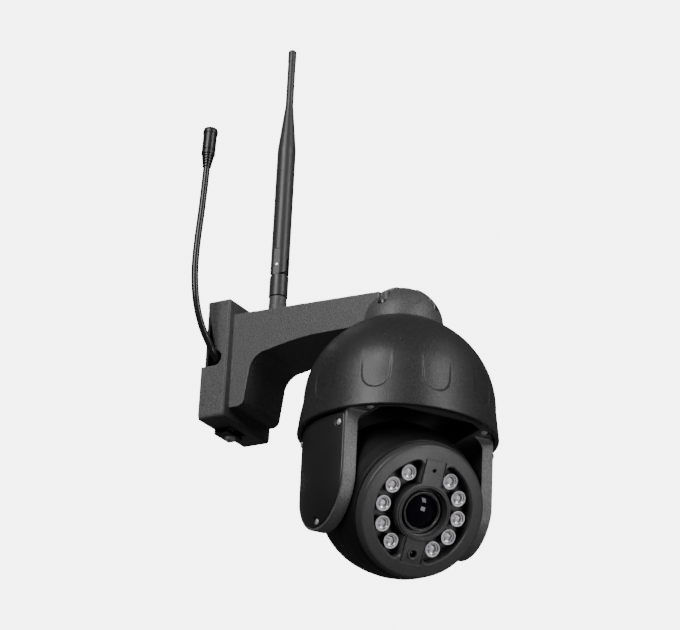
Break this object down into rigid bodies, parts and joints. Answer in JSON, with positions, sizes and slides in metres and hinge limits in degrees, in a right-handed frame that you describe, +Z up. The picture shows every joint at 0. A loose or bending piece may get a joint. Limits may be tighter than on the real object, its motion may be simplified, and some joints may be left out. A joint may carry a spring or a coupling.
{
  "type": "security camera",
  "caption": "Outdoor pan-tilt dome camera on a wall arm: ball head with a ring of lamps round its lens, turning yoke, folding aerial and power cord.",
  "frame": {"origin": "centre of the wall foot's back, on the wall", "axes": "+Y points into the wall, so the arm reaches out along -Y; +X is to the right seen from the front; +Z is up"},
  "size_m": [0.132, 0.2042, 0.4089],
  "materials": {
    "powder_coat": "fine-textured matte black powder coat",
    "cover_satin": "satin black paint",
    "bezel_plastic": "matte",
    "black_plastic": "matte",
    "aerial_plastic": "matte, slightly rubbery",
    "cord_jacket": "soft PVC jacket",
    "lead_jacket": "smooth",
    "gear_plastic": "self-lubricating nylon",
    "board": "solder-masked board",
    "lamp_board": "black board",
    "lamp_chip": "gloss",
    "lamp_lens": "frosted clear cups",
    "lens_glass": "dark coated glass",
    "seal_rubber": "matte",
    "plate_steel": "zinc-plated sheet",
    "screw_steel": "bright",
    "bearing_steel": "polished",
    "axle_steel": "turned",
    "motor_can": "plated",
    "cast_alloy": "cast",
    "brass": "turned"
  },
  "bodies": {
    "bracket": {"bracket_arm": "powder_coat", "wall_plate": "plate_steel", "lock_screw": "screw_steel", "cable_clamp": "black_plastic", "inner_cable": "cord_jacket", "tail_cord": "cord_jacket", "cord_relief": "cord_jacket", "power_plug": "black_plastic", "aerial_socket": "brass", "socket_nut": "brass", "aerial_lead": "lead_jacket", "dome_housing": "powder_coat", "neck_gasket": "seal_rubber", "cap_screws": "screw_steel", "chassis_plate": "cast_alloy", "chassis_screws": "screw_steel", "pan_bearing": "bearing_steel", "pan_motor": "motor_can", "main_board": "board", "board_chips": "black_plastic", "board_standoffs": "brass"},
    "yoke": {"turntable": "black_plastic", "pan_gear": "gear_plastic", "hub_nut": "screw_steel", "yoke_frame": "powder_coat", "yoke_screws": "screw_steel", "left_cover": "cover_satin", "right_cover": "cover_satin", "cover_screws": "screw_steel", "tilt_motor": "motor_can", "left_bush": "gear_plastic", "right_bush": "gear_plastic"},
    "pan_pinion": {"pan_pinion": "brass"},
    "tilt_pinion": {"tilt_pinion": "brass"},
    "head": {"ball_shell": "powder_coat", "front_bezel": "bezel_plastic", "bezel_gasket": "seal_rubber", "centre_plate": "bezel_plastic", "lens_collar": "black_plastic", "lens_ring": "black_plastic", "front_glass": "lens_glass", "lens_module": "black_plastic", "image_board": "board", "lamp_board": "lamp_board", "board_screws": "screw_steel", "lamp_chips": "lamp_chip", "lamp_lenses": "lamp_lens", "light_sensor": "black_plastic", "microphone": "motor_can", "left_axle": "axle_steel", "right_axle": "axle_steel", "tilt_gear": "gear_plastic"},
    "aerial_base": {"aerial_base": "aerial_plastic", "hinge_pin": "axle_steel"},
    "aerial_mast": {"aerial_mast": "aerial_plastic", "aerial_tip": "aerial_plastic", "aerial_element": "brass"}
  },
  "joints": [
    {"name": "pan", "type": "hinge", "parent": "bracket", "child": "yoke", "pos_m": [0, -0.138, -0.04], "axis": [0, 0, 1], "range_deg": [-145.5, 209.5]},
    {"name": "pan_pinion_spin", "type": "hinge", "parent": "bracket", "child": "pan_pinion", "pos_m": [0.035, -0.138, -0.04], "axis": [0, 0, 1], "range_deg": [-840, 585]},
    {"name": "tilt", "type": "hinge", "parent": "yoke", "child": "head", "pos_m": [0, -0.138, -0.108], "axis": [0.848, -0.5299, 0], "range_deg": [-27.5, 62.5]},
    {"name": "tilt_pinion_spin", "type": "hinge", "parent": "yoke", "child": "tilt_pinion", "pos_m": [-0.04147, -0.11209, -0.083], "axis": [0.848, -0.5299, 0], "range_deg": [-200, 90]},
    {"name": "aerial_swivel", "type": "hinge", "parent": "bracket", "child": "aerial_base", "pos_m": [0, -0.039, 0.055], "axis": [0, 0, 1], "range_deg": [-95, 80]},
    {"name": "aerial_fold", "type": "hinge", "parent": "aerial_base", "child": "aerial_mast", "pos_m": [0, -0.039, 0.0745], "axis": [0.9877, 0.1564, 0], "range_deg": [0, 90]}
  ],
  "couplings": [
    {"joint": "pan_pinion_spin", "follows": "pan", "ratio": -4},
    {"joint": "tilt_pinion_spin", "follows": "tilt", "ratio": -3.1667}
  ]
}
